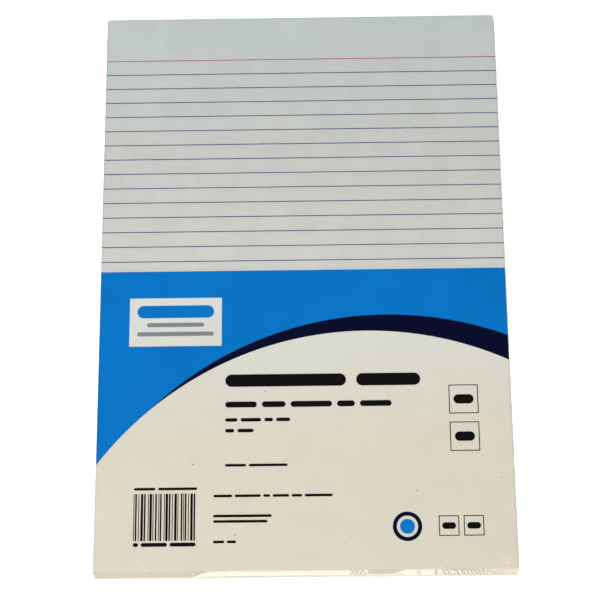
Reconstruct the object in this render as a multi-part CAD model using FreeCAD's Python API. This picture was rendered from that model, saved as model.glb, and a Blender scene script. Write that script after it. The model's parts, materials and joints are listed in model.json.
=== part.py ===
import FreeCAD, Part
import os

V = FreeCAD.Vector

# A ruled A4 writing pad: a hundred sheets on a grey board, gummed along the head edge,
# with a printed half label laid on the top sheet and clear shrink film sealed round it.
# Millimetres. X runs to the right, Y towards the head, Z up. The origin is the centre of
# the board's underside, which is the face that the pad lies on.

# Sheets, board and gum
sheet_width = 210.0
sheet_length = 297.0
sheet_thickness = 0.08
sheet_count = 100
board_thickness = 0.7
gum_thickness = 0.3
# The stack leans: the top sheet lies this far nearer the head than the bottom one
stack_lean = 3.0

# Ruling of the sheets
head_margin = 24.2
foot_margin = 6.0
rule_spacing = 8.1
rule_width = 0.43
ink_thickness = 0.05

# Printed label, flush with the foot and the sides of the top sheet
label_length = 154.5
label_thickness = 0.15
label_cut_margin = 0.5

# Arcs across the label. Each is given by its highest point, measured from the label's
# left edge and its top edge, and by its radius
band_arc_left = 147.4
band_arc_drop = 24.9
band_arc_radius = 174.3
pale_arc_left = 137.2
pale_arc_drop = 33.4
pale_arc_radius = 172.1

# Bare panel in the blue field, and the marks on it
panel_left = 15.4
panel_drop = 14.9
panel_width = 47.6
panel_height = 25.6
panel_margin = 4.0
panel_title_height = 6.6
panel_line_height = 2.2
panel_line_gap = 2.6
panel_line_inset = 5.0

# Lines of print under the arcs. The x of a line is measured from the label's left edge
column_left = 65.0
heading_drop = 58.9
heading_height = 6.4
heading_words = (61.5, 32.6)
heading_gap = 5.2
subheading_drop = 71.3
subheading_height = 3.0
subheading_words = (16.0, 12.0, 21.0, 9.0, 16.0)
subheading_gap = 2.6
body_height = 1.8
body_gap = 1.6
body_drops = (79.2, 84.7)
body_words = ((6.2, 10.4, 4.4, 7.1), (4.6, 8.2))

# Small print near the foot
small_height = 1.3
small_gap = 1.3
code_foot = 52.2
code_words = (10.6, 19.6)
maker_left = 59.2
maker_foots = (36.8, 26.8, 24.1, 14.0)
maker_words = ((9.4, 13.0, 3.4, 8.2, 5.2, 14.0), (29.2,), (27.0,), (5.6, 4.6))

# Block of upright stripes, with a short line over it and another under it
stripes_left = 19.4
stripes_foot = 14.8
stripes_width = 32.3
stripes_height = 23.4
stripe_unit = 0.4
stripe_widths = (1, 2, 1, 3, 2, 1, 3, 1, 2)
space_widths = (1, 2, 2, 1, 3, 1)
over_line_rise = 2.4
over_words = (10.8, 19.6)
under_line_drop = 1.9
under_line_height = 1.9
under_words = (2.6, 13.0, 13.0)

# Outlined boxes near the right edge, two large and two small
box_line = 0.45
large_box = 14.9
large_box_right = 16.6
large_box_drops = (62.2, 81.3)
small_box = 10.1
small_box_right = 16.1
small_box_pitch = 12.4
small_box_foot = 15.9
box_mark_share = 0.32
box_mark_margin_share = 0.16

# Round emblem
emblem_right = 54.2
emblem_foot = 20.8
emblem_radius = 7.3
emblem_ring_width = 2.0
emblem_gap = 1.6

# Shrink film round the edges, with its welded seam on three of them. At the foot the film
# slopes from the top sheet down to the seam, clear of the paper
film_thickness = 0.06
seam_height = 5.2
seam_width = 0.5
seam_thickness = 0.4
foot_seam_reach = 0.5

half_width = sheet_width / 2
half_length = sheet_length / 2
stack_height = sheet_thickness * sheet_count
stack_foot = board_thickness
stack_top = stack_foot + stack_height
label_foot_level = stack_top + ink_thickness
label_top_level = label_foot_level + label_thickness
pad_top = label_top_level + ink_thickness
# The top sheet and all that lies on it run between these two
top_foot_y = -half_length + stack_lean
top_head_y = half_length + stack_lean


def box(x0, x1, y0, y1, z0, z1):
    return Part.makeBox(x1 - x0, y1 - y0, z1 - z0, V(x0, y0, z0))


def prism_across(profile, x0, x1):
    """Solid with a section of (y, z) corners, drawn out along X."""
    corners = [V(x0, y, z) for y, z in profile]
    face = Part.Face(Part.makePolygon(corners + corners[:1]))
    return face.extrude(V(x1 - x0, 0, 0))


def rectangle(x0, x1, y0, y1):
    corners = [V(x0, y0, 0), V(x1, y0, 0), V(x1, y1, 0), V(x0, y1, 0)]
    return Part.Face(Part.makePolygon(corners + corners[:1]))


def disc(x, y, radius):
    return Part.Face(Part.Wire(Part.makeCircle(radius, V(x, y, 0))))


def bar(x0, x1, y_middle, height):
    """Flat bar with round ends."""
    end = height / 2
    left = x0 + end
    right = x1 - end
    top = y_middle + end
    foot = y_middle - end
    edges = [
        Part.makeLine(V(left, foot, 0), V(right, foot, 0)),
        Part.Arc(V(right, foot, 0), V(x1, y_middle, 0), V(right, top, 0)).toShape(),
        Part.makeLine(V(right, top, 0), V(left, top, 0)),
        Part.Arc(V(left, top, 0), V(x0, y_middle, 0), V(left, foot, 0)).toShape(),
    ]
    return Part.Face(Part.Wire(edges))


def bars_for_words(x, y_middle, words, height, gap):
    """One bar for each word of a line that starts at x."""
    bars = []
    for width in words:
        bars.append(bar(x, x + width, y_middle, height))
        x += width + gap
    return bars


def printed(faces, level):
    """Ink of one thickness on a sheet whose top is at the level."""
    solids = []
    for face in faces:
        raised = face.copy()
        raised.translate(V(0, 0, level))
        solids.append(raised.extrude(V(0, 0, ink_thickness)))
    return Part.makeCompound(solids) if len(solids) > 1 else solids[0]


def from_left(distance):
    return -half_width + distance


def from_right(distance):
    return half_width - distance


def from_foot(distance):
    """Y of what is measured up from the label's foot."""
    return top_foot_y + distance


def from_label_top(distance):
    """Y of what is measured down from the label's top edge."""
    return top_foot_y + label_length - distance


def film_outline(out):
    """Side view of the film: straight from the top sheet to the seam and on to the board at
    the foot, flat on the gum at the head. It is moved out at each end by a distance."""
    foot = -half_length - out
    head = half_length + gum_thickness + out
    return [
        (foot, 0),
        (foot - foot_seam_reach, seam_height),
        (foot + stack_lean, stack_top),
        (foot + stack_lean, pad_top),
        (head + stack_lean, pad_top),
        (head + stack_lean, stack_top),
        (head, stack_foot),
        (head, 0),
    ]


def backing_board():
    return box(-half_width, half_width, -half_length, half_length, 0, board_thickness)


def sheet_block():
    """The ruled sheets, which lean together as one stack."""
    profile = [
        (-half_length, stack_foot),
        (half_length, stack_foot),
        (top_head_y, stack_top),
        (top_foot_y, stack_top),
    ]
    return prism_across(profile, -half_width, half_width)


def gum_binding():
    """Flexible gum brushed over the head edge of the board and the sheets."""
    profile = [
        (half_length, 0),
        (half_length + gum_thickness, 0),
        (half_length + gum_thickness, stack_foot),
        (top_head_y + gum_thickness, stack_top),
        (top_head_y, stack_top),
        (half_length, stack_foot),
    ]
    return prism_across(profile, -half_width, half_width)


def rule(y):
    return rectangle(-half_width, half_width, y - rule_width / 2, y + rule_width / 2)


def red_head_rule():
    return printed([rule(top_head_y - head_margin)], stack_top)


def blue_rules():
    """Feint rules from the one under the head rule to the last above the foot margin."""
    count = int((sheet_length - head_margin - foot_margin) / rule_spacing)
    first = top_head_y - head_margin
    return printed([rule(first - rule_spacing * (k + 1)) for k in range(count)], stack_top)


def cover_label():
    top = top_foot_y + label_length
    return box(-half_width, half_width, top_foot_y, top, label_foot_level, label_top_level)


def printed_area():
    top = from_label_top(label_cut_margin)
    return rectangle(-half_width, half_width, top_foot_y, top)


def arc_disc(left, drop, radius):
    """Disc whose highest point is at those distances from the left and top edges."""
    return disc(from_left(left), from_label_top(drop) - radius, radius)


def band_disc():
    return arc_disc(band_arc_left, band_arc_drop, band_arc_radius)


def pale_disc():
    return arc_disc(pale_arc_left, pale_arc_drop, pale_arc_radius)


def panel():
    left = from_left(panel_left)
    top = from_label_top(panel_drop)
    return rectangle(left, left + panel_width, top - panel_height, top)


def label_blue_field():
    field = printed_area().cut(band_disc()).cut(pale_disc()).cut(panel())
    return printed(field.Faces, label_top_level)


def label_navy_band():
    """Crescent between the two arcs, thin at its left tip and widest at the right edge."""
    band = printed_area().common(band_disc()).cut(pale_disc())
    return printed(band.Faces, label_top_level)


def panel_line_middle(line):
    """Y of the middle of a thin line of the panel, counted down from the title bar."""
    title_foot = from_label_top(panel_drop + panel_margin + panel_title_height)
    step = panel_line_gap + panel_line_height
    return title_foot - panel_line_gap - panel_line_height / 2 - step * line


def label_panel_title():
    left = from_left(panel_left + panel_margin)
    right = from_left(panel_left + panel_width - panel_margin)
    middle = from_label_top(panel_drop + panel_margin + panel_title_height / 2)
    return printed([bar(left, right, middle, panel_title_height)], label_top_level)


def label_panel_lines():
    left = from_left(panel_left + panel_margin)
    right = from_left(panel_left + panel_width - panel_margin)
    lines = [
        bar(left + panel_line_inset, right - panel_line_inset, panel_line_middle(0), panel_line_height),
        bar(left, right, panel_line_middle(1), panel_line_height),
    ]
    return printed(lines, label_top_level)


def label_heading():
    x = from_left(column_left)
    y = from_label_top(heading_drop)
    words = bars_for_words(x, y, heading_words, heading_height, heading_gap)
    return printed(words, label_top_level)


def label_text_lines():
    x = from_left(column_left)
    y = from_label_top(subheading_drop)
    bars = bars_for_words(x, y, subheading_words, subheading_height, subheading_gap)
    for drop, words in zip(body_drops, body_words):
        bars += bars_for_words(x, from_label_top(drop), words, body_height, body_gap)
    bars += bars_for_words(x, from_foot(code_foot), code_words, small_height, small_gap)
    for foot, words in zip(maker_foots, maker_words):
        x = from_left(maker_left)
        bars += bars_for_words(x, from_foot(foot), words, small_height, small_gap)
    return printed(bars, label_top_level)


def label_stripe_block():
    """Upright stripes whose widths repeat in two rhythms, with a line above and below."""
    left = from_left(stripes_left)
    foot = from_foot(stripes_foot)
    top = foot + stripes_height
    marks = []
    x = left
    k = 0
    while True:
        width = stripe_unit * stripe_widths[k % len(stripe_widths)]
        if x + width > left + stripes_width:
            break
        marks.append(rectangle(x, x + width, foot, top))
        x += width + stripe_unit * space_widths[k % len(space_widths)]
        k += 1
    marks += bars_for_words(left, top + over_line_rise, over_words, small_height, small_gap)
    under = foot - under_line_drop
    marks += bars_for_words(left, under, under_words, under_line_height, small_gap)
    return printed(marks, label_top_level)


def outlined_box(x_right, y_foot, side):
    outer = rectangle(x_right - side, x_right, y_foot, y_foot + side)
    inner_left = x_right - side + box_line
    inner_top = y_foot + side - box_line
    inner = rectangle(inner_left, x_right - box_line, y_foot + box_line, inner_top)
    return outer.cut(inner).Faces[0]


def box_mark(x_right, y_foot, side):
    """Plain bar across the middle of a box."""
    margin = side * box_mark_margin_share
    height = side * box_mark_share
    return bar(x_right - side + margin, x_right - margin, y_foot + side / 2, height)


def box_places():
    """(right, foot, side) of each box."""
    places = []
    for drop in large_box_drops:
        places.append((from_right(large_box_right), from_label_top(drop) - large_box, large_box))
    for k in range(2):
        right = from_right(small_box_right + small_box_pitch * k)
        places.append((right, from_foot(small_box_foot), small_box))
    return places


def label_size_boxes():
    faces = []
    for place in box_places():
        faces.append(outlined_box(*place))
        faces.append(box_mark(*place))
    return printed(faces, label_top_level)


def label_emblem_ring():
    x = from_right(emblem_right)
    y = from_foot(emblem_foot)
    ring = disc(x, y, emblem_radius).cut(disc(x, y, emblem_radius - emblem_ring_width))
    return printed(ring.Faces, label_top_level)


def label_emblem_disc():
    radius = emblem_radius - emblem_ring_width - emblem_gap
    centre = disc(from_right(emblem_right), from_foot(emblem_foot), radius)
    return printed([centre], label_top_level)


def shrink_film():
    """The film where it passes round the edges, with the welded seam that stands out at the
    foot and the sides. At the head the film is folded. Its flat panels over the front and
    the back have no form of their own and aren't drawn here."""
    reach = half_width + film_thickness
    skin = prism_across(film_outline(film_thickness), -reach, reach)
    wide = reach + seam_width
    foot = -half_length - film_thickness - foot_seam_reach - seam_width
    low = seam_height - seam_thickness / 2
    seam = box(-wide, wide, foot, half_length, low, low + seam_thickness)
    return skin.fuse(seam).cut(prism_across(film_outline(0), -half_width, half_width))


pieces = {
    "backing_board": backing_board,
    "sheet_block": sheet_block,
    "gum_binding": gum_binding,
    "red_head_rule": red_head_rule,
    "blue_rules": blue_rules,
    "cover_label": cover_label,
    "label_blue_field": label_blue_field,
    "label_navy_band": label_navy_band,
    "label_panel_title": label_panel_title,
    "label_panel_lines": label_panel_lines,
    "label_heading": label_heading,
    "label_text_lines": label_text_lines,
    "label_stripe_block": label_stripe_block,
    "label_size_boxes": label_size_boxes,
    "label_emblem_ring": label_emblem_ring,
    "label_emblem_disc": label_emblem_disc,
    "shrink_film": shrink_film,
}

os.makedirs("parts", exist_ok=True)
for name, make in pieces.items():
    shape = make()
    print(name, len(shape.Solids), "solids, valid", shape.isValid(), "volume", round(shape.Volume, 2))
    shape.exportStep(f"parts/{name}.step")
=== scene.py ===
import json
import math
import random

import bpy
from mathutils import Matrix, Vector


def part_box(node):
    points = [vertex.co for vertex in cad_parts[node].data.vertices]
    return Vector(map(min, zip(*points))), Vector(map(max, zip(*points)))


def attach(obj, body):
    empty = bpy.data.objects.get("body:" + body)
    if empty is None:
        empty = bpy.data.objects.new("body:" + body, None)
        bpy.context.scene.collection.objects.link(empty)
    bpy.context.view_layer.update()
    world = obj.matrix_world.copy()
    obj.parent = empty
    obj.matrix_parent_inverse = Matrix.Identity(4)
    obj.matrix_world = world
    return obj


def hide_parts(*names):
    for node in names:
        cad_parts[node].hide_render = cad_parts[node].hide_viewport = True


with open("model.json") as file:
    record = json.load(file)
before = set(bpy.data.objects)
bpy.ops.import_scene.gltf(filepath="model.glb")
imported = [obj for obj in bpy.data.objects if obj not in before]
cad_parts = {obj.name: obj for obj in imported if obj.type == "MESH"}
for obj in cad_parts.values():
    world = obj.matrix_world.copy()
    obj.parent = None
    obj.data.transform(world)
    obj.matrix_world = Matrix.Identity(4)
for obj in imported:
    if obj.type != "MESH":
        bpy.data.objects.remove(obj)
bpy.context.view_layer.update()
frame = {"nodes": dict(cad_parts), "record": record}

MM = 0.001
WHITE = (1.0, 1.0, 1.0)
BLACK = (0.0, 0.0, 0.0)

# Sizes that the solids give, in metres
stack_low, stack_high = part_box("sheet_block")
label_low, label_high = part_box("cover_label")
film_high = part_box("shrink_film")[1]
gum_low, gum_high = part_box("gum_binding")
half_width = stack_high.x
board_foot = stack_low.y
top_foot = label_low.y
top_head = stack_high.y
lean = top_foot - board_foot
board_head = top_head - lean
gum_thickness = gum_high.y - stack_high.y
pad_top = film_high.z

# The stack of sheets
sheet_count = 100
sheet_slip = 0.07 * MM
head_corner_left = 0.9 * MM
head_corner_right = 1.5 * MM
corner_steps = 5

# The gum: how fine its mesh is, and as shares of its thickness how far its first and last
# row stand out, how much thinner it is round a corner, and its mean. Each wave has a share,
# radians to the millimetre along the head, and a shift from row to row
gum_columns = 240
gum_rows = 9
gum_end_share = 0.4
gum_corner_thinning = 0.6
gum_mean_share = 0.85
gum_waves = ((0.1, 0.21, 1), (0.05, 1.7, 2))

# The film
film_clearance = 0.1 * MM
film_edge_radius = 0.3 * MM
film_top = pad_top + 0.04 * MM
film_under = -0.03 * MM
seam_height = 5.2 * MM
seam_half = 0.2 * MM
seam_width = 0.5 * MM
seam_reach = 0.5 * MM
seam_ripple = 0.12 * MM
wall_rows = 14
film_corner_extra = 0.2 * MM
panel_edge_fade = 1.0 * MM

# Waves of the weld's edge: share, radians to the millimetre, shift
seam_waves = ((1.0, 0.37, 0.0), (0.6, 0.93, 1.3), (0.4, 2.1, 0.0))

# Rows from the top of the weld to the film's underside: how far out, and the height
weld_rows = (
    (0.0, seam_height + seam_half),
    (seam_width, seam_height + seam_half),
    (seam_width, seam_height - seam_half),
    (0.0, seam_height - seam_half),
    (0.0, 0.5 * seam_height),
    (0.0, film_under),
)

# At the weld: how far the side walls have come out, and by what share of the sheets' lean
# the wall at the head has come in. The slope at the foot fades out this far up the sides
side_wall_out = 0.2 * MM
head_wall_in = 0.4
foot_corner_reach = 7 * MM

# Spacing of the film's mesh: wide columns and, from a place in X on, narrow ones, then rows
# near the foot, between and near the head
plain_columns = 0.8 * MM
wrinkled_from = 18 * MM
wrinkled_columns = 0.25 * MM
near_foot_reach = 9 * MM
near_head_reach = 6 * MM
foot_rows = 0.35 * MM
middle_rows = 4.2 * MM
head_rows = 0.5 * MM

# The film's slope at the foot, in degrees: where it lies straight and shines, how much
# flatter it is above that band and how much steeper below, and how softly it turns at the
# band's two ends, as shares of the slope's run
shine_slope = 42.0
slack_above = 7.0
slack_below = 16.0
soft_above = 0.08
soft_below = 0.1

# The shining band along the foot: place in X in mm, then its start and end on the slope,
# from 0 at the sheets' edge to 1 at the weld
shine_band = (
    (-105.0, 1.0, 1.0),
    (-58.0, 1.0, 1.0),
    (-52.0, 0.45, 0.8),
    (-47.0, 0.0, 0.78),
    (22.0, 0.0, 0.76),
    (28.5, 0.0, 0.8),
    (30.0, 0.66, 0.84),
    (43.0, 0.7, 0.86),
    (47.0, 0.25, 0.55),
    (49.5, 0.0, 0.82),
    (72.0, 0.0, 0.84),
    (86.0, 0.0, 0.8),
    (92.0, 0.6, 0.7),
    (95.0, 1.0, 1.0),
    (105.0, 1.0, 1.0),
)

# Wrinkles across the slope: start and end in X in mm, length of one wave, its slant from
# the sheets' edge to the weld, its height, and how many degrees flatter the film lies.
# They fade in and out over a few millimetres, and at the sheets' edge they are lower
slope_wrinkles = (
    (21.0, 31.0, 2.2, 3.2, 0.08, 3.4),
    (66.0, 78.0, 2.2, -2.6, 0.09, 3.6),
    (76.0, 93.0, 1.9, -2.2, 0.09, 3.6),
)
wrinkle_fade = 2.0
relief_at_edge = 0.3

# Narrow pleats across the slope: place in X, half their width and their height, all in mm
pleats = ((56.3, 0.8, 0.3), (64.8, 0.85, 0.35), (73.6, 1.1, 0.4))
pleat_lean = 0.8

# Low creases that run on from the wrinkles over the edge of the sheets, in mm
crease_start = 64.0
crease_end = 92.0
crease_fade = 5.0
crease_reach = (0.3, 3.2)
crease_wave = 1.75
crease_lean = 0.9
crease_height = 0.1

# Short bends near the right corner of the foot: start and end, in mm from that corner, and
# their half width and height
corner_strokes = (
    ((-7.9, 4.6), (-6.4, 2.0)),
    ((-6.9, 5.7), (-5.2, 2.3)),
    ((-5.9, 6.5), (-4.9, 4.4)),
    ((-3.9, 5.2), (-5.0, 1.9)),
)
stroke_half_width = 0.33
stroke_height = 0.22

# Long shallow folds on the front: middle in X and Y, how far they lean to the right for each
# step towards the head, half width, half length and height, all in mm
slack_folds = (
    (55.0, 62.0, -0.5, 3.5, 26.0, 0.07),
    (70.0, 78.0, -0.42, 2.6, 22.0, 0.06),
    (78.0, 50.0, -0.55, 4.0, 18.0, 0.08),
    (88.0, 92.0, -0.35, 3.0, 20.0, 0.06),
)

# Camera, placed by the outline of the sheet in a photograph of 600 by 600 pixels
photo_pixels = 600
focal_pixels = 1496
camera_place = Vector((7.0, -209.6, 755.9)) * MM
camera_turn_deg = (15.12, 0.79, -0.49)
sensor_width = 36.0

# The studio. Each lamp has a name, a place, a size, a power, a colour and a place that it
# faces. Only the low strip stands where the film mirrors it to the camera, at its foot
pad_middle = (0.0, 0.0, 0.0)
pad_foot = (0.0, -0.15, 0.0)
lamps = (
    ("foot_softbox", (-0.3, -1.2, 1.1), (1.6, 1.0), 28.0, (1.0, 0.8, 0.66), pad_middle),
    ("left_softbox", (-1.6, 0.1, 1.3), (1.2, 1.8), 26.0, (0.42, 0.77, 0.93), pad_middle),
    ("right_softbox", (1.6, 0.1, 1.3), (1.2, 1.8), 8.4, (0.75, 0.95, 0.88), pad_middle),
    ("head_softbox", (-0.1, 1.9, 1.5), (2.0, 1.2), 8.0, (0.6, 0.85, 0.95), pad_middle),
    ("low_strip", (0.03, -1.15, 0.2), (1.1, 0.1), 1.3, (1.0, 0.95, 0.84), pad_foot),
)
floor_reach = 6.0
floor_level = -0.08 * MM
floor_glow = 0.6
sky_strength = 0.35
sky_dark_strength = 0.02
sky_dims_from = 0.6
sky_dark_above = 0.88

# The film's looks: how much it mirrors and how milky it is in its zones, with a painted highlight
# as milk on the crests of its creases, how wide the bend over its edges is, how crinkled it
# is, and the tints of what is seen through it, darker at the bend as painted shade
panel_shine = 0.014
wall_shine = 0.1
panel_milk = 0.001
wall_milk = 0.06
foot_milk = 0.25
weld_milk = 0.3
weld_share_at_foot = 0.3
# Painted highlight: milk on the crests of the creases, standing in for glints
crest_painted_highlight = 0.75
bend_width = 0.6 * MM
bend_out = 0.2 * MM
film_roughness = 0.06
least_crinkle = 0.02
foot_crinkle = 0.55
crinkle_height = 0.05 * MM
panel_tint = (0.985, 0.985, 0.98)
# Painted shade: the film is darker where it bends over the side and head edges
bend_painted_shade_tint = (0.74, 0.76, 0.76)
wall_tint = (0.93, 0.95, 0.94)
foot_tint = (0.88, 0.855, 0.825)
wall_milk_tone = (0.8, 0.8, 0.76)
foot_milk_tone = (0.82, 0.775, 0.71)
crest_highlight_tone = (1.0, 0.93, 0.83)

# Zones of those looks. Each begins and is full this far from its level or edge: the film's
# top, the sheets' edge at the foot, the weld, and for the left part the middle of the pad
wall_zone = (-0.03 * MM, -0.8 * MM)
low_wall_zone = (-0.8 * MM, -2.5 * MM)
crest_highlight_zone = (0.05 * MM, 0.15 * MM)
foot_zone = (0.0, -0.5 * MM)
creased_zone = (9 * MM, 7 * MM)
weld_zone = (0.4 * MM, 0.2 * MM)
above_weld_zone = (0.3 * MM, 0.7 * MM)
left_zone = (20 * MM, 5 * MM)

# Shades that multiply a tone, one of them painted shade where the sheets part at their cut
# edges, and how much paper shows through the ruled lines
fleck_shade = (0.93, 0.93, 0.92)
speck_shade = (0.5, 0.48, 0.45)
sheet_gap_painted_shade = (0.9, 0.89, 0.87)
board_fibre_shade = (0.72, 0.7, 0.68)
ruling_gaps = 0.16

# Paper tones from head to foot, with painted light: cooler at the head and warmer towards the
# foot, as the lamps fall across the pad; and the one that shows between the dots of ink
sheet_colour = (0.63, 0.62, 0.6)
sheet_tones_painted_light = (
    (0.0, (0.605, 0.63, 0.625)),
    (0.55, (0.646, 0.617, 0.598)),
    (1.0, (0.675, 0.65, 0.625)),
)
label_colour = (0.72, 0.665, 0.575)
label_tones_painted_light = (
    (0.0, (0.745, 0.75, 0.73)),
    (0.6, (0.735, 0.666, 0.576)),
    (1.0, (0.72, 0.653, 0.575)),
)


# Materials


class Shader:
    """A material's node tree, with its Principled shader and a short way to add nodes."""

    def __init__(self, name):
        self.material = bpy.data.materials.new(name)
        self.material.use_nodes = True
        self.nodes = self.material.node_tree.nodes
        self.links = self.material.node_tree.links
        self.surface = self.nodes["Principled BSDF"]
        self.output = self.nodes["Material Output"]
        self.place = self.nodes.new("ShaderNodeTexCoord").outputs["Object"]

    def add(self, kind, **values):
        node = self.nodes.new(kind)
        for name, value in values.items():
            setattr(node, name, value)
        return node

    def link(self, source, target):
        self.links.new(source, target)

    def stretched(self, scale):
        """The place with its own number of waves to the metre along each axis."""
        mapping = self.add("ShaderNodeMapping")
        mapping.inputs["Scale"].default_value = scale
        self.link(self.place, mapping.inputs["Vector"])
        return mapping.outputs["Vector"]

    def noise(self, scale, detail=3.0, vector=None, roughness=0.5):
        """Noise with so many waves to the metre."""
        node = self.add("ShaderNodeTexNoise")
        node.inputs["Scale"].default_value = scale
        node.inputs["Detail"].default_value = detail
        node.inputs["Roughness"].default_value = roughness
        self.link(vector or self.place, node.inputs["Vector"])
        return node.outputs["Fac"]

    def math(self, operation, first, second):
        node = self.add("ShaderNodeMath", operation=operation)
        for socket, value in zip(node.inputs, (first, second)):
            if isinstance(value, float):
                socket.default_value = value
            else:
                self.link(value, socket)
        return node.outputs["Value"]

    def range(self, source, start, end, low=0.0, high=1.0):
        """A value led from one range into another, held at both ends."""
        node = self.add("ShaderNodeMapRange")
        node.inputs["From Min"].default_value = start
        node.inputs["From Max"].default_value = end
        node.inputs["To Min"].default_value = low
        node.inputs["To Max"].default_value = high
        self.link(source, node.inputs["Value"])
        return node.outputs["Result"]

    def zone(self, source, edge, reach):
        """A value from 0 to 1 between two distances from an edge."""
        return self.range(source, edge + reach[0], edge + reach[1])

    def spread(self, source, low, high):
        """A value from 0 to 1 spread between two numbers."""
        return self.range(source, 0.0, 1.0, low, high)

    def axes(self):
        """The three coordinates of the place, in metres."""
        split = self.add("ShaderNodeSeparateXYZ")
        self.link(self.place, split.inputs["Vector"])
        return split.outputs["X"], split.outputs["Y"], split.outputs["Z"]

    def ramp(self, source, stops):
        """Colours at places from 0 to 1."""
        node = self.add("ShaderNodeValToRGB")
        elements = node.color_ramp.elements
        while len(elements) < len(stops):
            elements.new(0.5)
        for element, (place, colour) in zip(elements, stops):
            element.position = place
            element.color = (*colour, 1.0)
        self.link(source, node.inputs["Fac"])
        return node.outputs["Color"]

    def blend(self, factor, first, second, kind="MIX"):
        node = self.add("ShaderNodeMix", data_type="RGBA", blend_type=kind)
        for index, value in ((0, factor), (6, first), (7, second)):
            socket = node.inputs[index]
            if isinstance(value, (int, float)):
                socket.default_value = value
            elif isinstance(value, tuple):
                socket.default_value = (*value, 1.0)
            else:
                self.link(value, socket)
        return node.outputs[2]

    def mixed(self, factor, first, second):
        """Two shaders mixed by a value."""
        node = self.add("ShaderNodeMixShader")
        for socket, source in zip(node.inputs, (factor, first, second)):
            self.link(source, socket)
        return node.outputs["Shader"]

    def shaded(self, tone, source, stops):
        """A tone made darker or lighter by a ramp."""
        return self.blend(1.0, tone, self.ramp(source, stops), "MULTIPLY")

    def bump(self, height, strength, distance):
        node = self.add("ShaderNodeBump")
        node.inputs["Strength"].default_value = strength
        node.inputs["Distance"].default_value = distance
        self.link(height, node.inputs["Height"])
        self.link(node.outputs["Normal"], self.surface.inputs["Normal"])

    def finish(self, colour, roughness, specular):
        self.link(colour, self.surface.inputs["Base Color"])
        self.surface.inputs["Specular IOR Level"].default_value = specular
        if isinstance(roughness, float):
            self.surface.inputs["Roughness"].default_value = roughness
        else:
            self.link(roughness, self.surface.inputs["Roughness"])
        return self.material


def scaled(colour, factor):
    """A colour made darker or lighter, up to full white."""
    return tuple(min(1.0, c * factor) for c in colour)


def paper(name, painted_light_tones, head, foot, cloud=0.03, tooth=0.5, speck=WHITE):
    """Uncoated paper whose tone drifts from head to foot as painted light, with faint clouds,
    fine flecks, a few specks and a fine tooth."""
    shader = Shader(name)
    clouds = shader.noise(70.0, 4.0)
    # Painted light: the tone runs from cooler at the head to warmer at the foot
    tone = shader.ramp(shader.range(shader.axes()[1], head, foot), painted_light_tones)
    tone = shader.shaded(tone, clouds, ((0.3, scaled(WHITE, 1 - 2 * cloud)), (0.7, WHITE)))
    tone = shader.shaded(tone, shader.noise(2600.0, 2.0), ((0.35, fleck_shade), (0.6, WHITE)))
    tone = shader.shaded(tone, shader.noise(330.0, 1.0), ((0.19, speck), (0.22, WHITE)))
    shader.bump(shader.noise(3200.0, 5.0, roughness=0.65), tooth, 0.03 * MM)
    return shader.finish(tone, shader.spread(clouds, 0.78, 0.9), 0.25)


def sheet_edges(name, colour):
    """Cut edges of the sheets: fine level lines, with painted shade where sheets part."""
    shader = Shader(name)
    lines = shader.noise(1.0, 3.0, shader.stretched((25.0, 25.0, 7000.0)), 0.7)
    gap_shade_bands = shader.noise(1.0, 2.0, shader.stretched((8.0, 8.0, 900.0)))
    dark, pale = scaled(colour, 0.78), scaled(colour, 1.06)
    tone = shader.ramp(lines, ((0.3, dark), (0.55, colour), (0.8, pale)))
    # Painted shade: bands along the cut edges darkened where the sheets part
    tone = shader.shaded(tone, gap_shade_bands, ((0.3, sheet_gap_painted_shade), (0.65, WHITE)))
    shader.bump(lines, 0.5, 0.05 * MM)
    return shader.finish(tone, 0.9, 0.15)


def print_ink(name, colour, paper_colour, gaps=0.12, gloss=0.55):
    """Offset print on paper: even tone with the paper's grain just showing through."""
    shader = Shader(name)
    grain = shader.noise(3800.0, 3.0, roughness=0.6)
    cover = shader.ramp(grain, ((0.32, scaled(WHITE, gaps)), (0.52, BLACK)))
    clouds = shader.noise(45.0, 3.0)
    tone = shader.ramp(clouds, ((0.3, scaled(colour, 0.94)), (0.7, scaled(colour, 1.06))))
    tone = shader.blend(cover, tone, paper_colour)
    shader.bump(grain, 0.15, 0.02 * MM)
    return shader.finish(tone, shader.spread(grain, gloss - 0.05, gloss + 0.1), 0.06)


def ruling_ink(name, colour, paper_colour):
    """Thin ruled line whose ink lies unevenly along its length."""
    shader = Shader(name)
    along = shader.noise(1.0, 4.0, shader.stretched((700.0, 2500.0, 1.0)), 0.65)
    cover = shader.ramp(along, ((0.3, scaled(WHITE, ruling_gaps)), (0.55, BLACK)))
    tone = shader.blend(cover, colour, paper_colour)
    return shader.finish(tone, shader.spread(along, 0.7, 0.85), 0.15)


def grey_board(name, colour):
    """Recycled board: pale and dark fibres pressed flat."""
    shader = Shader(name)
    fibres = shader.noise(1.0, 5.0, shader.stretched((900.0, 260.0, 900.0)), 0.7)
    crossed = shader.noise(1.0, 5.0, shader.stretched((240.0, 1000.0, 900.0)), 0.7)
    dark, pale = scaled(colour, 0.7), scaled(colour, 1.35)
    tone = shader.ramp(fibres, ((0.3, dark), (0.5, colour), (0.72, pale)))
    tone = shader.shaded(tone, crossed, ((0.3, board_fibre_shade), (0.45, WHITE)))
    shader.bump(fibres, 0.5, 0.06 * MM)
    return shader.finish(tone, shader.spread(crossed, 0.82, 0.95), 0.15)


def gum(name, colour):
    """Padding gum: pale, rubbery, brushed along the edge."""
    shader = Shader(name)
    brushed = shader.noise(1.0, 4.0, shader.stretched((60.0, 900.0, 900.0)), 0.6)
    tone = shader.ramp(brushed, ((0.3, scaled(colour, 0.85)), (0.7, scaled(colour, 1.05))))
    shader.bump(brushed, 0.5, 0.08 * MM)
    return shader.finish(tone, shader.spread(brushed, 0.35, 0.55), 0.45)


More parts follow.
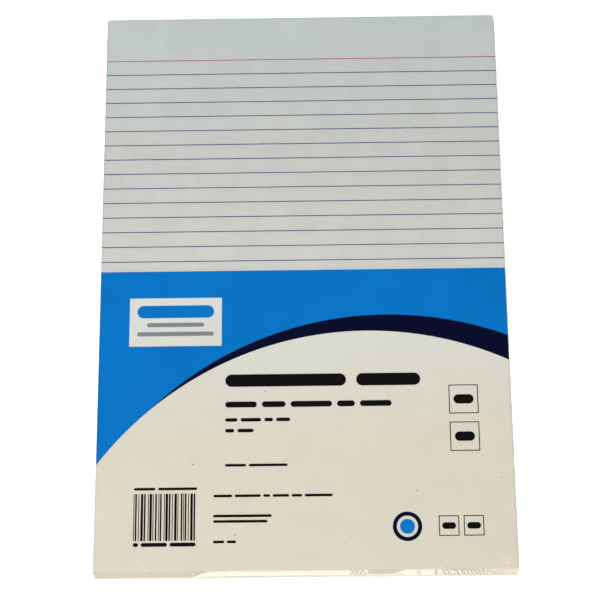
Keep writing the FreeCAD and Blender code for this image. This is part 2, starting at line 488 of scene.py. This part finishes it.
def film_zones(shader):
    """Where a place on the film lies: values from 0 outside a zone to 1 inside it."""
    across, lengthwise, height = shader.axes()
    from_middle = shader.math("ABSOLUTE", across, 0.0)
    from_weld = shader.math("ABSOLUTE", shader.math("SUBTRACT", height, seam_height), 0.0)
    at_side = shader.zone(from_middle, half_width, (-bend_width, bend_out))
    at_head = shader.zone(lengthwise, top_head, (-bend_width, gum_thickness + bend_out))
    at_foot = shader.zone(lengthwise, top_foot, foot_zone)
    above_weld = shader.zone(height, seam_height, above_weld_zone)
    crest_highlight = shader.zone(height, film_top, crest_highlight_zone)
    creased = shader.zone(lengthwise, top_foot, creased_zone)
    return {
        "down_wall": shader.zone(height, film_top, wall_zone),
        "low_wall": shader.zone(height, film_top, low_wall_zone),
        "painted_shade_bend": shader.math("MAXIMUM", at_side, at_head),
        "at_foot": at_foot,
        "on_slope": shader.math("MULTIPLY", at_foot, above_weld),
        "at_weld": shader.zone(from_weld, 0.0, weld_zone),
        "crest_highlight": shader.math("MULTIPLY", crest_highlight, creased),
        "left_part": shader.zone(across, 0.0, left_zone),
    }


def film_tint(shader, zones):
    """Tint of what is seen through the film, with painted shade where it bends over the edges."""
    # Painted shade: darker where the film bends over the side and head edges
    tint = shader.blend(zones["painted_shade_bend"], panel_tint, bend_painted_shade_tint)
    tint = shader.blend(zones["low_wall"], tint, wall_tint)
    return shader.blend(zones["on_slope"], tint, foot_tint)


def film_milk(shader, zones):
    """How milky the film is, streaked along its length, with a painted highlight added as milk
    on the crests of creases, and the tone of that milk.
    """
    streak = shader.noise(1.0, 4.0, shader.stretched((900.0, 120.0, 300.0)), 0.6)
    weld = shader.math(
        "MULTIPLY",
        shader.spread(zones["at_weld"], 0.0, weld_milk),
        shader.spread(zones["at_foot"], 1.0, weld_share_at_foot),
    )
    amount = shader.math("MAXIMUM", shader.spread(zones["down_wall"], panel_milk, wall_milk), weld)
    amount = shader.math("MAXIMUM", amount, shader.spread(zones["on_slope"], 0.0, foot_milk))
    amount = shader.math("MULTIPLY", amount, shader.spread(streak, 0.7, 1.3))
    # Painted highlight: the crests of the creases near the foot are made milky white to read as
    # glints
    crest_highlight = shader.spread(zones["crest_highlight"], 0.0, crest_painted_highlight)
    tone = shader.blend(zones["at_foot"], wall_milk_tone, foot_milk_tone)
    return shader.math("ADD", amount, crest_highlight), shader.blend(crest_highlight, tone, crest_highlight_tone)


def film_shine(shader, zones):
    """How much the film mirrors: little where it is seen straight on, all at a slant."""
    facing = shader.add("ShaderNodeLayerWeight")
    facing.inputs["Blend"].default_value = 0.5
    shine = shader.add("ShaderNodeMapRange")
    shader.link(shader.math("POWER", facing.outputs["Facing"], 5.0), shine.inputs["Value"])
    shader.link(shader.spread(zones["down_wall"], panel_shine, wall_shine), shine.inputs["To Min"])
    return shine.outputs["Result"]


def film_crinkle(shader, zones):
    """Fine unevenness of the mirror, stronger on the left part of the slope at the foot."""
    strength = shader.spread(zones["left_part"], least_crinkle, foot_crinkle)
    strength = shader.math("MULTIPLY", zones["at_foot"], strength)
    bump = shader.add("ShaderNodeBump")
    bump.inputs["Distance"].default_value = crinkle_height
    shader.link(shader.math("MAXIMUM", strength, least_crinkle), bump.inputs["Strength"])
    shader.link(shader.noise(600.0, 1.0), bump.inputs["Height"])
    return bump.outputs["Normal"]


def clear_film(name):
    """Clear plastic film: it lets light by, mirrors at a slant, and is milky at the foot and
    at the weld; on the crests of its creases a painted highlight is laid on as milk."""
    shader = Shader(name)
    zones = film_zones(shader)
    clear = shader.add("ShaderNodeBsdfTransparent")
    shader.link(film_tint(shader, zones), clear.inputs["Color"])
    amount, tone = film_milk(shader, zones)
    milk = shader.add("ShaderNodeBsdfDiffuse")
    shader.link(tone, milk.inputs["Color"])
    mirror = shader.add("ShaderNodeBsdfGlossy")
    mirror.inputs["Color"].default_value = (*WHITE, 1.0)
    mirror.inputs["Roughness"].default_value = film_roughness
    shader.link(film_crinkle(shader, zones), mirror.inputs["Normal"])
    body = shader.mixed(amount, clear.outputs["BSDF"], milk.outputs["BSDF"])
    whole = shader.mixed(film_shine(shader, zones), body, mirror.outputs["BSDF"])
    shader.link(whole, shader.output.inputs["Surface"])
    shader.nodes.remove(shader.surface)
    return shader.material


materials = {
    "white_paper": paper("ruled_sheet", sheet_tones_painted_light, top_head, label_high.y),
    "sheet_edges": sheet_edges("sheet_edges", (0.7, 0.7, 0.66)),
    "grey_board": grey_board("grey_board", (0.34, 0.325, 0.3)),
    "clear_gum": gum("binding_gum", (0.46, 0.47, 0.44)),
    "red_ink": ruling_ink("head_rule_ink", (0.47, 0.02, 0.09), sheet_colour),
    "rule_ink": ruling_ink("rule_ink", (0.012, 0.024, 0.165), sheet_colour),
    "label_paper": paper(
        "label_paper", label_tones_painted_light, label_high.y, label_low.y,
        cloud=0.02, tooth=0.25, speck=speck_shade,
    ),
    "blue_ink": print_ink("blue_print", (0.0, 0.168, 0.55), label_colour, gaps=0.001),
    "navy_ink": print_ink("navy_print", (0.0, 0.001, 0.022), label_colour, gaps=0.001),
    "grey_ink": print_ink("grey_print", (0.22, 0.23, 0.26), label_colour, gaps=0.1),
    "black_ink": print_ink("black_print", (0.003, 0.002, 0.003), label_colour, gaps=0.004),
    "clear_film": clear_film("shrink_film_clear"),
}


def paint_nodes():
    """Gives each solid that stays in view the material of its slot."""
    slots = {row["node"]: row["material_slot"] for row in frame["record"]["subparts"]}
    for name, piece in frame["nodes"].items():
        piece.data.materials.clear()
        piece.data.materials.append(materials[slots[name]])


def add_mesh(name, vertices, faces, slot, *looks):
    mesh = bpy.data.meshes.new(name)
    mesh.from_pydata(vertices, [], faces)
    mesh.validate()
    for look in looks:
        mesh.materials.append(look)
    piece = bpy.data.objects.new(name, mesh)
    bpy.context.scene.collection.objects.link(piece)
    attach(piece, "root")
    return piece


# The sheets


def sheet_outline(x_out, foot, head, z):
    """Outline of one sheet: square at the foot, corners at the head a little rounded."""
    points = [(-x_out, foot, z), (x_out, foot, z)]
    for side, radius in ((1, head_corner_right), (-1, head_corner_left)):
        for k in range(corner_steps + 1):
            turn = math.pi / 2 * (k if side > 0 else corner_steps - k) / corner_steps
            x = side * (x_out - radius + radius * math.cos(turn))
            points.append((x, head - radius + radius * math.sin(turn), z))
    return points


def wall(above, below):
    """Faces between two closed rows of the same length, seen from outside."""
    count = len(above)
    return [
        (above[k], below[k], below[(k + 1) % count], above[(k + 1) % count])
        for k in range(count)
    ]


def make_sheet_stack():
    """The sheets one by one, each a hair out of line with the next, as one closed form."""
    rng = random.Random(7)
    length = top_head - top_foot
    thickness = (stack_high.z - stack_low.z) / sheet_count
    vertices, faces = [], []
    above = None
    for k in reversed(range(sheet_count)):
        at_edge = k in (0, sheet_count - 1)
        slip_x = 0.0 if at_edge else rng.uniform(0.0, sheet_slip)
        slip_y = 0.0 if at_edge else rng.uniform(0.0, sheet_slip)
        foot = board_foot + lean * (k + 1) / sheet_count + slip_y
        head = foot + length - 2 * slip_y
        low = stack_low.z + thickness * k
        for z in (low + thickness, low):
            points = sheet_outline(half_width - slip_x, foot, head, z)
            row = list(range(len(vertices), len(vertices) + len(points)))
            vertices += points
            faces += wall(above, row) if above else [tuple(row)]
            above = row
    faces.append(tuple(reversed(above)))
    stack = add_mesh(
        "ruled_sheet_stack", vertices, faces, "white_paper",
        materials["white_paper"], materials["sheet_edges"],
    )
    for face in stack.data.polygons:
        face.material_index = 0 if len(face.vertices) > 4 else 1
    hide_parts("sheet_block")


def make_gum():
    """The gum along the head: brushed on, a little uneven, drawn round both corners."""
    vertices, faces = [], []
    rings = []
    for k in range(gum_rows + 1):
        z = gum_low.z + (gum_high.z - gum_low.z) * k / gum_rows
        head = board_head + lean * max(0.0, (z - stack_low.z) / (stack_high.z - stack_low.z))
        full = gum_end_share if k in (0, gum_rows) else 1.0
        ring_points = []
        for i in range(gum_columns + 1):
            x = -half_width + 2 * half_width * i / gum_columns
            radius = head_corner_right if x > 0 else head_corner_left
            in_corner = min(1.0, max(0.0, (abs(x) - half_width) / radius + 1.0))
            drawn = radius * (1 - math.sqrt(1 - in_corner**2))
            uneven = gum_mean_share
            for share, turns, shift in gum_waves:
                uneven += share * math.sin(x / MM * turns + shift * k)
            uneven *= 1 - gum_corner_thinning * in_corner
            ring_points.append((x, head - drawn, z))
            ring_points.append((x, head - drawn + gum_thickness * full * uneven, z))
        start = len(vertices)
        vertices += ring_points
        inner = list(range(start, len(vertices), 2))
        outer = list(range(start + 1, len(vertices), 2))
        rings.append(inner + outer[::-1])
    faces.append(tuple(reversed(rings[0])))
    faces.append(tuple(rings[-1]))
    for lower, upper in zip(rings, rings[1:]):
        faces += wall(upper, lower)
    gum_piece = add_mesh("head_gum", vertices, faces, "clear_gum", materials["clear_gum"])
    for face in gum_piece.data.polygons:
        face.use_smooth = len(face.vertices) == 4
    gum_piece.data.set_sharp_from_angle(angle=math.radians(50))
    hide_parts("gum_binding")


# The film


def along(points, value, column=1):
    """Value in a column of a table, on straight lines between its places."""
    if value <= points[0][0]:
        return points[0][column]
    for start, end in zip(points, points[1:]):
        if value <= end[0]:
            share = (value - start[0]) / (end[0] - start[0])
            return start[column] + (end[column] - start[column]) * share
    return points[-1][column]


def smooth_step(start, end, value):
    """From 0 at the start to 1 at the end, without a corner."""
    t = min(1.0, max(0.0, (value - start) / (end - start)))
    return t * t * (3 - 2 * t)


def window(value, start, end, soft):
    """1 between two places, falling softly to 0 at both."""
    return smooth_step(start, start + soft, value) * (1 - smooth_step(end - soft, end, value))


def lines_between(start, end, step):
    """Even places about a step apart, without the last one."""
    count = max(1, round((end - start) / step))
    return [start + (end - start) * k / count for k in range(count)]


def film_x_lines():
    """From the left edge to the right one, closer where the film is wrinkled."""
    lines = lines_between(-half_width, wrinkled_from, plain_columns)
    return lines + lines_between(wrinkled_from, half_width, wrinkled_columns) + [half_width]


def film_y_lines():
    """From the foot to the head, closer near both."""
    near_foot = top_foot + near_foot_reach
    near_head = top_head - near_head_reach
    lines = lines_between(top_foot, near_foot, foot_rows)
    lines += lines_between(near_foot, near_head, middle_rows)
    return lines + lines_between(near_head, top_head, head_rows) + [top_head]


def foot_slope(x, t):
    """Slope of the film at the foot in degrees, t from 0 at the sheets to 1 at the weld."""
    x_mm = x / MM
    shine_from = along(shine_band, x_mm, 1)
    shine_to = along(shine_band, x_mm, 2)
    slope = shine_slope
    for start, end, _, _, _, flatter in slope_wrinkles:
        slope -= flatter * window(x_mm, start, end, wrinkle_fade)
    slope -= slack_above * smooth_step(0.0, soft_above, shine_from - t)
    slope += slack_below * smooth_step(0.0, soft_below, t - shine_to)
    return slope


def slope_relief(x, t):
    """Height of the wrinkles and pleats above the film's slope."""
    x_mm = x / MM
    height = 0.0
    for start, end, wave, slant, size, _ in slope_wrinkles:
        phase = 2 * math.pi * (x_mm + slant * t) / wave
        height += size * window(x_mm, start, end, wrinkle_fade) * math.sin(phase)
    for place, half, size in pleats:
        offset = (x_mm - place + pleat_lean * t) / half
        height += size * math.exp(-2 * offset * offset)
    return height * MM


def seam_wave(value):
    """Uneven edge of the weld."""
    place = value / MM
    wave = sum(share * math.sin(place * turns + shift) for share, turns, shift in seam_waves)
    return seam_ripple * wave / 2


def foot_profile(x, run):
    """Heights of the film down its slope at the foot, from the sheets' edge to the weld."""
    heights = []
    z = film_top - film_edge_radius / 3
    step = run / wall_rows
    for k in range(wall_rows):
        heights.append(z)
        z -= step * math.tan(math.radians(foot_slope(x, (k + 0.5) / wall_rows)))
    lowest = seam_height + seam_half
    profile = []
    for k, height in enumerate(heights):
        t = k / wall_rows
        profile.append(max(lowest, height + slope_relief(x, t) * min(1.0, t + relief_at_edge)))
    return profile


def foot_crease(x, y):
    """Low creases that run on from the slope's wrinkles over the edge of the sheets."""
    x_mm = x / MM
    back = (y - top_foot) / MM
    depth = window(x_mm, crease_start, crease_end, crease_fade)
    depth *= 1 - smooth_step(*crease_reach, back)
    wave = math.sin(2 * math.pi * (x_mm + crease_lean * back) / crease_wave)
    return crease_height * MM * depth * (0.5 + 0.5 * wave)


def corner_creases(x, y):
    """A few short bends where the film gathers near the right corner of the foot."""
    place = Vector(((x - half_width) / MM, (y - top_foot) / MM))
    height = 0.0
    for start, end in corner_strokes:
        start, end = Vector(start), Vector(end)
        run = end - start
        share = min(1.0, max(0.0, (place - start).dot(run) / run.length_squared))
        off = (place - start - share * run).length / stroke_half_width
        height = max(height, math.exp(-off * off))
    return stroke_height * MM * height


def slack(x, y):
    """Long shallow folds of the front panel towards the right side."""
    height = 0.0
    for fold_x, fold_y, lean_of_fold, half, reach, size in slack_folds:
        back = y / MM - fold_y
        off = (x / MM - fold_x - lean_of_fold * back) / half
        height += size * math.exp(-off * off - (back / reach) ** 2)
    return height * MM


def round_head_corner(x, y):
    """Draws the two corners at the head in, as the film does there."""
    radius = (head_corner_right if x > 0 else head_corner_left) + film_corner_extra
    centre_x, centre_y = half_width - radius, top_head - radius
    over_x, over_y = abs(x) - centre_x, y - centre_y
    if over_x <= 0 or over_y <= 0:
        return x, y
    scale = max(over_x, over_y) / math.hypot(over_x, over_y)
    return math.copysign(centre_x + over_x * scale, x), centre_y + over_y * scale


def spread_out(x, y, side, foot, head):
    """Moves a place on the top sheet out in proportion to the film's three offsets."""
    share = (y - top_foot) / (top_head - top_foot)
    x, y = round_head_corner(x, y)
    return x * (1 + side / half_width), y - foot * (1 - share) + head * share


def panel_height(x, y):
    """Height of the front panel: its folds and creases fade out at the edges."""
    inner = min(half_width - abs(x), top_head - y, y - top_foot + panel_edge_fade / 2)
    rise = slack(x, y) + foot_crease(x, y) + corner_creases(x, y)
    return film_top + rise * smooth_step(0.0, panel_edge_fade, inner)


def rim_of(nx, ny):
    """Columns and rows of the places round the front panel, from its left foot corner."""
    rim = [(i, 0) for i in range(nx - 1)]
    rim += [(nx - 1, j) for j in range(ny - 1)]
    rim += [(i, ny - 1) for i in range(nx - 1, 0, -1)]
    return rim + [(0, j) for j in range(ny - 1, 0, -1)]


def make_film():
    """One closed skin: front panel, sloping walls with the weld, back panel."""
    xs = film_x_lines()
    ys = film_y_lines()
    nx, ny = len(xs), len(ys)
    vertices, faces = [], []
    upper = film_top - film_edge_radius
    foot_run = lean + seam_reach - film_clearance
    profiles = [foot_profile(x, foot_run) for x in xs]
    clear = film_clearance
    edge_row = (clear - film_edge_radius / 2, 0.0, gum_thickness + clear - film_edge_radius / 2)
    for y in ys:
        for x in xs:
            vertices.append((*spread_out(x, y, *edge_row), panel_height(x, y)))
    for j in range(ny - 1):
        for i in range(nx - 1):
            a = j * nx + i
            faces.append((a, a + 1, a + nx + 1, a + nx))
    rim = rim_of(nx, ny)
    above = [j * nx + i for i, j in rim]

    def add_row(above, side, foot, head, height):
        """A closed row of places round the walls, joined to the row above it."""
        start = len(vertices)
        for i, j in rim:
            x, y = xs[i], ys[j]
            out = (side(x, y), foot(x, y), head(x, y))
            vertices.append((*spread_out(x, y, *out), height(i, j)))
        row = list(range(start, len(vertices)))
        faces.extend(wall(above, row))
        return row

    head_base = gum_thickness + clear

    def wall_height(i, j, k):
        """The foot's profile, led over into even steps along the two sides."""
        level = upper + (seam_height + seam_half - upper) * k / wall_rows
        at_foot = 1 - smooth_step(top_foot, top_foot + foot_corner_reach, ys[j])
        return level + (profiles[i][k] - level) * at_foot

    for k in range(wall_rows):
        t = k / wall_rows
        above = add_row(
            above,
            lambda x, y: clear + side_wall_out * t,
            lambda x, y: clear + foot_run * t,
            lambda x, y: head_base - lean * t * head_wall_in,
            lambda i, j: wall_height(i, j, k),
        )
    for out, z in weld_rows:
        fall = min(1.0, z / seam_height)
        above = add_row(
            above,
            lambda x, y: clear + side_wall_out * fall + out + (seam_wave(y) if out else 0.0),
            lambda x, y: clear + lean + seam_reach * fall + out + (seam_wave(x) if out else 0.0),
            lambda x, y: head_base - lean * (1 - (1 - head_wall_in) * fall) + out,
            lambda i, j: z,
        )
    faces.append(tuple(reversed(above)))
    film = add_mesh("shrink_film_skin", vertices, faces, "clear_film", materials["clear_film"])
    for face in film.data.polygons:
        face.use_smooth = len(face.vertices) == 4
    film.data.set_sharp_from_angle(angle=math.radians(50))
    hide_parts("shrink_film")


# The studio


def make_floor():
    mesh = bpy.data.meshes.new("floor")
    signs = ((-1, -1), (1, -1), (1, 1), (-1, 1))
    corners = [(sx * floor_reach, sy * floor_reach, floor_level) for sx, sy in signs]
    mesh.from_pydata(corners, [], [(0, 1, 2, 3)])
    floor = bpy.data.objects.new("floor", mesh)
    bpy.context.scene.collection.objects.link(floor)
    shader = Shader("pale_floor")
    tone = shader.ramp(shader.noise(6.0), ((0.3, (0.94, 0.94, 0.94)), (0.7, (0.96, 0.96, 0.96))))
    shader.surface.inputs["Emission Color"].default_value = (*WHITE, 1.0)
    shader.surface.inputs["Emission Strength"].default_value = floor_glow
    mesh.materials.append(shader.finish(tone, 0.9, 0.1))


def add_light(name, place, size, power, colour, target):
    lamp = bpy.data.lights.new(name, "AREA")
    lamp.shape = "RECTANGLE"
    lamp.size, lamp.size_y = size
    lamp.energy = power
    lamp.color = colour
    light = bpy.data.objects.new(name, lamp)
    light.location = place
    direction = Vector(target) - Vector(place)
    light.rotation_euler = direction.to_track_quat("-Z", "Y").to_euler()
    light.visible_camera = False
    bpy.context.scene.collection.objects.link(light)


def make_sky():
    """Pale light from all round, dark overhead, so that the film mirrors little of it."""
    world = bpy.data.worlds.new("studio")
    bpy.context.scene.world = world
    world.use_nodes = True
    nodes, links = world.node_tree.nodes, world.node_tree.links
    place = nodes.new("ShaderNodeTexCoord")
    split = nodes.new("ShaderNodeSeparateXYZ")
    links.new(place.outputs["Generated"], split.inputs["Vector"])
    level = nodes.new("ShaderNodeMapRange")
    level.interpolation_type = "SMOOTHSTEP"
    level.inputs["From Min"].default_value = sky_dims_from
    level.inputs["From Max"].default_value = sky_dark_above
    level.inputs["To Min"].default_value = sky_strength
    level.inputs["To Max"].default_value = sky_dark_strength
    links.new(split.outputs["Z"], level.inputs["Value"])
    background = nodes["Background"]
    background.inputs["Color"].default_value = (0.95, 0.97, 1.0, 1.0)
    links.new(level.outputs["Result"], background.inputs["Strength"])


def make_camera():
    lens = bpy.data.cameras.new("camera")
    lens.sensor_width = sensor_width
    lens.lens = focal_pixels / photo_pixels * sensor_width
    camera = bpy.data.objects.new("camera", lens)
    camera.location = camera_place
    camera.rotation_euler = [math.radians(a) for a in camera_turn_deg]
    bpy.context.scene.collection.objects.link(camera)
    bpy.context.scene.camera = camera
    bpy.context.scene.view_settings.view_transform = "Standard"


paint_nodes()
make_sheet_stack()
make_gum()
make_film()
make_floor()
for lamp in lamps:
    add_light(*lamp)
make_sky()
make_camera()
